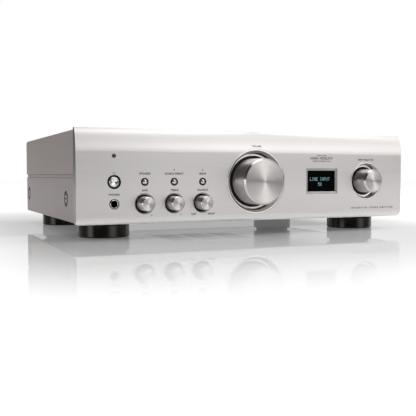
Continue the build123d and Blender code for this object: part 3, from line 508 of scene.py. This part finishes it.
def write(target, words, x, z, height, align="CENTER", spacing=1.1, rear=False):
    """Adds raised lettering on the front or rear face to a bmesh; height is that of a capital."""
    capital = 0.73
    bolder = 0.055
    curve = bpy.data.curves.new("words", "FONT")
    curve.body = words
    curve.size = height / capital
    curve.align_x = align
    curve.align_y = "CENTER"
    curve.space_character = spacing
    curve.offset = bolder * height
    curve.extrude = INK_THICK
    curve.resolution_u = 4
    holder = bpy.data.objects.new("words", curve)
    bpy.context.scene.collection.objects.link(holder)
    bpy.context.view_layer.update()
    solid = holder.evaluated_get(bpy.context.evaluated_depsgraph_get())
    mesh = bpy.data.meshes.new_from_object(solid)
    level, turn = (REAR, math.pi) if rear else (FACE, 0.0)
    place = Matrix.Translation((x, level, z)) @ Matrix.Rotation(turn, 4, "Z")
    upright = Matrix.Rotation(math.pi / 2, 4, "X") @ Matrix.Translation((0, 0, curve.extrude))
    mesh.transform(place @ upright)
    target.from_mesh(mesh)
    bpy.data.objects.remove(holder)
    bpy.data.curves.remove(curve)
    bpy.data.meshes.remove(mesh)


def lay_on(target, node, rear=False):
    """Moves lettering along Y to lie on a CAD node's front or rear surface."""
    surface = BVHTree.FromObject(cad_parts[node], bpy.context.evaluated_depsgraph_get())
    base, outward = (REAR, 1.0) if rear else (FACE, -1.0)
    for corner in target.verts:
        start = Vector((corner.co.x, base + outward, corner.co.z))
        spot, _, _, _ = surface.ray_cast(start, Vector((0, -outward, 0)))
        if spot:
            corner.co.y += spot.y - base


def panel_legends():
    """Function words and marks printed on the front panel."""
    letters = bmesh.new()
    label = 2.05 * MM
    write(letters, "VOLUME", VOLUME.x + 0.6 * MM, VOLUME.z + 41.6 * MM, label, spacing=1.2)
    write(letters, "INPUT SELECTOR", SELECTOR.x - 1.2 * MM, SELECTOR.z + 27 * MM, label)
    write(letters, "PHONES", POWER.x, POWER.z - 13.9 * MM, label, spacing=1.2)
    for words, centre in zip(("SPEAKERS", "SOURCE DIRECT", "MODE"), SMALLS):
        write(letters, words, centre.x, centre.z + 9.1 * MM, label)
    for words, centre in zip(("BASS", "TREBLE", "BALANCE"), TONES):
        write(letters, words, centre.x, centre.z + 14.7 * MM, label)
    for centre, (low, high) in zip(TONES, (("-", "+"), ("-", "+"), ("LEFT", "RIGHT"))):
        reach = 8.0 * MM if len(low) == 1 else 11.0 * MM
        write(letters, low, centre.x - reach, centre.z - 13 * MM, label)
        write(letters, high, centre.x + reach, centre.z - 13 * MM, label)
    block = DISPLAY.z + 28 * MM
    write(letters, "PRECISION", DISPLAY.x - 0.8 * MM, block + 3.4 * MM, 1.5 * MM, spacing=1.4)
    write(letters, "HIGH FIDELITY", DISPLAY.x - 0.8 * MM, block, 2.9 * MM, spacing=1.25)
    write(letters, "STEREO POWER STAGE", DISPLAY.x - 0.8 * MM, block - 3.4 * MM, 1.5 * MM, spacing=1.25)
    words = "INTEGRATED STEREO AMPLIFIER"
    write(letters, words, panel_high.x - 13 * MM, panel_low.z + 12 * MM, 2.0 * MM, align="RIGHT",
          spacing=1.75)
    power_symbol(letters, POWER.x, POWER.z + 9.7 * MM, 1.3 * MM)
    lay_on(letters, "front_panel")
    new_piece("panel_legends", letters, printed_ink("legend_ink", (0.025, 0.023, 0.022)))


def rear_legends():
    """Plain words printed by the groups of sockets on the rear panel."""
    letters = bmesh.new()
    label = 2.6 * MM
    gap = 6 * MM
    for node, words in (("terminal_base", "SPEAKERS"), ("mains_inlet", "AC IN")):
        write(letters, words, centre_of(node).x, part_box(node)[1].z + gap, label, spacing=1.2, rear=True)
    for node, words in (("digital_sockets", "DIGITAL IN / NETWORK"), ("rca_inserts", "ANALOG IN / OUT")):
        write(letters, words, centre_of(node).x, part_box(node)[0].z - gap, label, spacing=1.2, rear=True)
    lay_on(letters, "rear_panel", rear=True)
    new_piece("rear_legends", letters, printed_ink("rear_ink", (0.75, 0.75, 0.76)))


def power_symbol(target, x, z, radius):
    """Open ring with an upright bar, the usual mark beside a power button."""
    width = 0.32 * MM
    level = FACE - INK_THICK
    steps = 20
    gap = math.radians(35)
    inner, outer = [], []
    for step in range(steps + 1):
        angle = math.pi / 2 + gap + (2 * math.pi - 2 * gap) * step / steps
        for ring, size in ((inner, radius - width / 2), (outer, radius + width / 2)):
            ring.append(target.verts.new((x + size * math.cos(angle), level, z + size * math.sin(angle))))
    for step in range(steps):
        target.faces.new((inner[step], inner[step + 1], outer[step + 1], outer[step]))
    corners = [(-width / 2, 0.0), (width / 2, 0.0), (width / 2, radius * 1.25), (-width / 2, radius * 1.25)]
    target.faces.new([target.verts.new((x + dx, level, z + dz)) for dx, dz in corners])


DOT_LETTERS = {
    "L": ("X....", "X....", "X....", "X....", "X....", "X....", "XXXXX"),
    "I": (".XXX.", "..X..", "..X..", "..X..", "..X..", "..X..", ".XXX."),
    "N": ("X...X", "XX..X", "XX..X", "X.X.X", "X..XX", "X..XX", "X...X"),
    "E": ("XXXXX", "X....", "X....", "XXXX.", "X....", "X....", "XXXXX"),
    "P": ("XXXX.", "X...X", "X...X", "XXXX.", "X....", "X....", "X...."),
    "U": ("X...X", "X...X", "X...X", "X...X", "X...X", "X...X", ".XXX."),
    "T": ("XXXXX", "..X..", "..X..", "..X..", "..X..", "..X..", "..X.."),
    "5": ("XXXXX", "X....", "XXXX.", "....X", "....X", "X...X", ".XXX."),
    "0": (".XXX.", "X...X", "X..XX", "X.X.X", "XX..X", "X...X", ".XXX."),
    " ": (".....",) * 7,
}


def display_dots():
    """Two lines of dot-matrix letters just in front of the window."""
    dots = bmesh.new()
    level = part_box("display_window")[0].y - 0.04 * MM
    pitch_x, pitch_z = 0.49 * MM, 0.60 * MM
    fill = 0.8
    for words, middle_z in (("LINE INPUT", DISPLAY.z + 2.4 * MM), ("50", DISPLAY.z - 4.0 * MM)):
        columns = 6 * len(words) - 1
        left = DISPLAY.x - 1.8 * MM - columns * pitch_x / 2
        for place, letter in enumerate(words):
            for row, line in enumerate(DOT_LETTERS[letter]):
                for column, mark in enumerate(line):
                    if mark == "X":
                        x = left + (6 * place + column) * pitch_x
                        z = middle_z + (3 - row) * pitch_z
                        add_dot(dots, x, level, z, pitch_x * fill, pitch_z * fill)
    new_piece("display_dots", dots, glow("display_glow", GLOW, 0.55))


def add_dot(target, x, y, z, width, height):
    """One thin box-shaped dot."""
    thick = 0.03 * MM
    made = bmesh.ops.create_cube(target, size=1.0)
    size = Matrix.Diagonal((width, thick, height, 1.0))
    bmesh.ops.transform(target, matrix=Matrix.Translation((x, y, z)) @ size, verts=made["verts"])


# ---------------------------------------------------------------- stage, light and camera
def studio_floor():
    """White floor that glows. Its glow is weaker under and near the amplifier, a painted shade, and its
    mirror polish fades away in front of it."""
    half, front = 6.0, -1.15
    mesh = bpy.data.meshes.new("studio_floor")
    corners = [(-half, front, 0), (half, front, 0), (half, half, 0), (-half, half, 0)]
    mesh.from_pydata(corners, [], [(0, 1, 2, 3)])
    floor = bpy.data.objects.new("studio_floor", mesh)
    bpy.context.scene.collection.objects.link(floor)
    look = Shader("floor_white", (0.42, 0.42, 0.42), 0.0, 0.9)
    look.set("Specular IOR Level", 0.0)
    here = look.place()

    # Distance from the case's footprint, counted faster to the sides.
    case_low, case_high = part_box("top_cover")
    middle = (case_low + case_high) / 2
    half_case = (case_high - case_low) / 2
    beyond = look.vector("SUBTRACT", here, (middle.x, middle.y, 0.0))
    beyond = look.node("VectorMath", beyond, operation="ABSOLUTE").outputs[0]
    beyond = look.vector("SUBTRACT", beyond, (half_case.x, half_case.y, 0.0))
    beyond = look.vector("MAXIMUM", beyond, (0.0, 0.0, 0.0))
    beyond = look.vector("MULTIPLY", beyond, (2.5, 1.0, 1.0))
    distance = look.node("VectorMath", beyond, operation="LENGTH").outputs["Value"]
    # Painted shade: the floor's glow is low near the case and rises far from it.
    shaded_glow, bright = 0.17, 0.72
    look.set("Emission Color", (*WHITE, 1.0))
    look.set("Emission Strength", look.ramp(distance, 0.05, 0.48, shaded_glow, bright))

    # Polish by distance from the panel: none far in front, most just at it, less under the case.
    y = look.node("SeparateXYZ", here).outputs[1]
    most, less = 0.45, 0.3
    nearer = look.ramp(y, FACE - 0.43, FACE - 0.03, 0.0, most)
    under = look.ramp(y, FACE + 0.07, FACE + 0.12, most, less)
    mirror = look.node("BsdfGlossy", (*WHITE, 1.0), 0.0)
    polish = look.maths("MINIMUM", nearer, under)
    mixed = look.node("MixShader", polish, look.surface.outputs[0], mirror.outputs[0])
    look.put(look.tree.nodes["Material Output"].inputs["Surface"], mixed.outputs[0])
    mesh.materials.append(look.material)


class Sky(Nodes):
    """The world's shader."""

    def __init__(self):
        self.world = bpy.data.worlds.new("studio")
        self.world.use_nodes = True
        self.tree = self.world.node_tree
        self.tree.nodes.clear()
        bpy.context.scene.world = self.world

    def blend(self, fac, first, second):
        """Value between two values."""
        return self.node("Mix", fac, None, first, second, data_type="FLOAT").outputs[0]


def studio_world():
    """White room. The camera and the polished floor see plain white, and matt surfaces get an even light.
    Blurred reflections see this room, with x to the right, y to the back and z up:
    - in front, a bright patch right of the middle, dark towards the left and the far right, with a darker
      line at eye level and a bright strip at the far left
    - behind, dark on the left and grey on the right
    - a bright spot overhead"""
    sky = Sky()
    x, y, z = sky.node("SeparateXYZ", sky.node("TexCoord").outputs["Generated"]).outputs
    height = sky.maths("ABSOLUTE", z)
    patch = sky.maths("MULTIPLY", sky.ramp(x, 0.0, 0.45, 0.05, 2.3), sky.ramp(x, 0.5, 0.82, 1.0, 0.12))
    patch = sky.maths("MULTIPLY", patch, sky.ramp(z, 0.15, 0.55, 1.0, 0.72))
    eye_level = sky.ramp(height, 0.04, 0.11, 0.08, 1.0)
    strip = sky.ramp(x, -0.95, -0.84, 3.5, 0.0)
    strip = sky.maths("MULTIPLY", strip, sky.ramp(height, 0.08, 0.18, 1.0, 0.05))
    front = sky.maths("ADD", sky.maths("MULTIPLY", patch, eye_level), strip)
    behind = sky.ramp(x, -0.15, 0.35, 0.16, 0.6)
    around = sky.blend(sky.ramp(y, -0.3, 0.1, 0.0, 1.0), front, behind)
    around = sky.maths("MAXIMUM", around, sky.ramp(z, 0.88, 0.96, 0.0, 2.0))
    path = sky.node("LightPath").outputs
    even_light, white = 0.5, 1.0
    lit = sky.blend(path["Is Diffuse Ray"], around, even_light)
    plain = sky.maths("MAXIMUM", path["Is Camera Ray"], path["Is Singular Ray"])
    seen = sky.blend(plain, lit, white)
    background = sky.node("Background", (*WHITE, 1.0), seen)
    sky.node("OutputWorld", background.outputs[0])


def softbox(name, place, aim, width, height, power):
    """Rectangular area light that looks at a point."""
    light = bpy.data.lights.new(name, "AREA")
    light.shape = "RECTANGLE"
    light.size = width
    light.size_y = height
    light.energy = power
    holder = bpy.data.objects.new(name, light)
    holder.location = place
    holder.rotation_euler = (Vector(aim) - Vector(place)).to_track_quat("-Z", "Y").to_euler()
    holder.visible_glossy = False
    bpy.context.scene.collection.objects.link(holder)


def studio_lights():
    """Three softboxes: above, a strong one to the right, which leaves a soft shadow at the left, and a weak
    one behind the left side. Reflections don't show them."""
    middle = (0.0, 0.0, 0.06)
    softbox("key_above", (0.2, -0.4, 2.1), middle, 2.2, 1.6, 10.0)
    softbox("fill_right", (2.2, -0.1, 1.2), middle, 1.0, 1.0, 40.0)
    softbox("fill_left", (-1.0, 0.6, 0.6), middle, 0.6, 0.6, 3.0)


def studio_camera():
    """Camera low on the left, aimed at the panel's lower left."""
    azimuth = math.radians(-24.29)
    elevation = math.radians(2.84)
    distance = 0.771
    aim = Vector((-63.3 * MM, FACE, 33.0 * MM))
    level = math.cos(elevation)
    back = Vector((math.sin(azimuth) * level, -math.cos(azimuth) * level, math.sin(elevation)))
    camera = bpy.data.cameras.new("camera")
    camera.sensor_width = 36.0
    camera.lens = 57.7
    camera.clip_start = 0.01
    camera.clip_end = 50.0
    holder = bpy.data.objects.new("camera", camera)
    holder.location = aim + back * distance
    holder.rotation_euler = (-back).to_track_quat("-Z", "Y").to_euler()
    bpy.context.scene.collection.objects.link(holder)
    bpy.context.scene.camera = holder


finish_front()
finish_case()
finish_inside()
finish_rear()
panel_legends()
rear_legends()
display_dots()
studio_floor()
studio_world()
studio_lights()
studio_camera()
bpy.context.scene.view_settings.view_transform = "Standard"
